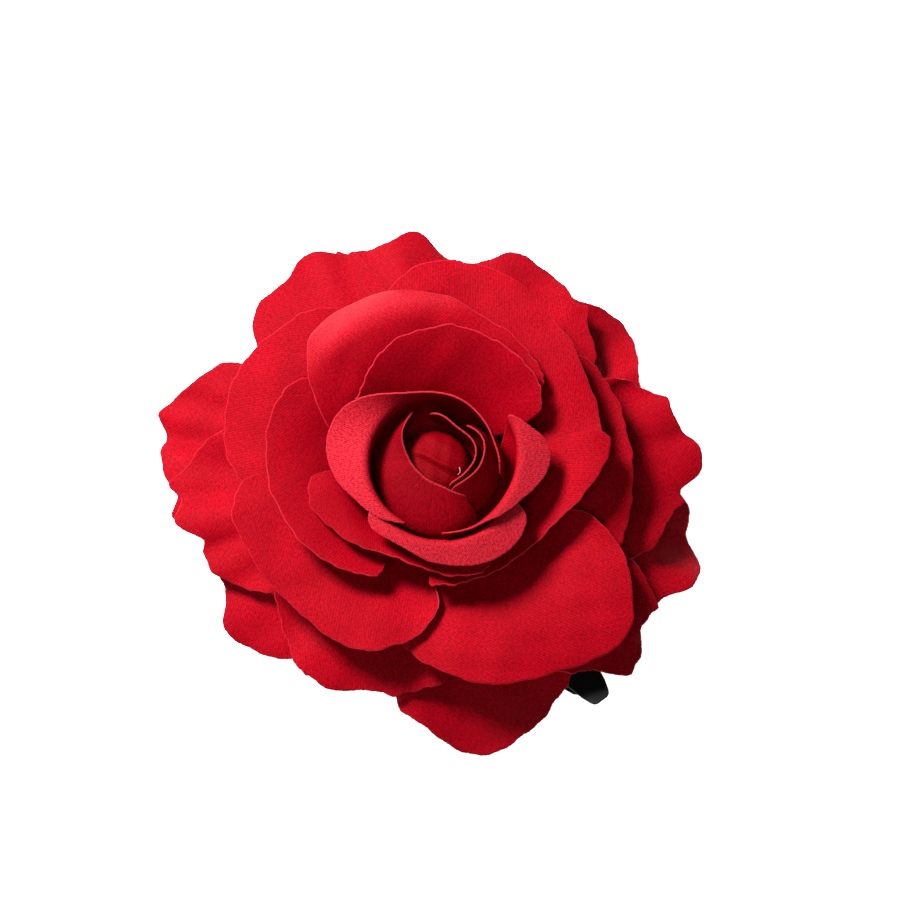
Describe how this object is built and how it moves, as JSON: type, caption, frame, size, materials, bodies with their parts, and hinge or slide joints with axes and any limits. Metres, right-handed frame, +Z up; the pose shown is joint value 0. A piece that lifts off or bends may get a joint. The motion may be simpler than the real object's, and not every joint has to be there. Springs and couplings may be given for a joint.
{
  "type": "flower hair clip",
  "caption": "Fabric rose of layered petals glued to a felt-backed steel alligator hair clip whose toothed lower jaw opens against a torsion spring.",
  "frame": {"origin": "middle of the bounding box, on the surface the clip lies on", "axes": "+Z up the flower's axis, the flower facing up; the clip's thumb tabs point 53.5 degrees clockwise of +X seen from above"},
  "size_m": [0.1094, 0.1062, 0.035],
  "materials": {
    "petal_cloth": "fine twill with a soft sheen, cut edges a little frayed",
    "bud_cloth": "fine twill stretched over foam",
    "base_plastic": "moulded, matt",
    "felt": "pressed felt",
    "clip_steel": "dull satin black lacquer",
    "spring_steel": "drawn wire"
  },
  "bodies": {
    "flower_and_upper_lever": {"back_low_petal_1": "petal_cloth", "back_low_petal_2": "petal_cloth", "back_low_petal_3": "petal_cloth", "back_low_petal_4": "petal_cloth", "back_low_petal_5": "petal_cloth", "back_low_petal_6": "petal_cloth", "back_high_petal_1": "petal_cloth", "back_high_petal_2": "petal_cloth", "back_high_petal_3": "petal_cloth", "back_high_petal_4": "petal_cloth", "back_high_petal_5": "petal_cloth", "back_high_petal_6": "petal_cloth", "outer_petal_1": "petal_cloth", "outer_petal_2": "petal_cloth", "outer_petal_3": "petal_cloth", "outer_petal_4": "petal_cloth", "outer_petal_5": "petal_cloth", "middle_petal_1": "petal_cloth", "middle_petal_2": "petal_cloth", "middle_petal_3": "petal_cloth", "inner_petal_1": "petal_cloth", "inner_petal_2": "petal_cloth", "inner_petal_3": "petal_cloth", "cup_petal_1": "petal_cloth", "cup_petal_2": "petal_cloth", "cup_petal_3": "petal_cloth", "bud_petal_1": "petal_cloth", "bud_petal_2": "petal_cloth", "bud_petal_3": "petal_cloth", "bud_heart": "bud_cloth", "flower_base": "base_plastic", "felt_backing": "felt", "upper_lever": "clip_steel", "hinge_pin": "clip_steel", "torsion_spring": "spring_steel"},
    "lower_lever": {"lower_lever": "clip_steel"}
  },
  "joints": [
    {"name": "jaw_hinge", "type": "hinge", "parent": "flower_and_upper_lever", "child": "lower_lever", "pos_m": [0.01783, -0.0216, 0.0031], "axis": [-0.8039, -0.5948, 0], "range_deg": [0, 22], "stiffness_Nm_per_rad": 0.2, "springref_deg": -40.11, "deforming": ["torsion_spring"]}
  ]
}
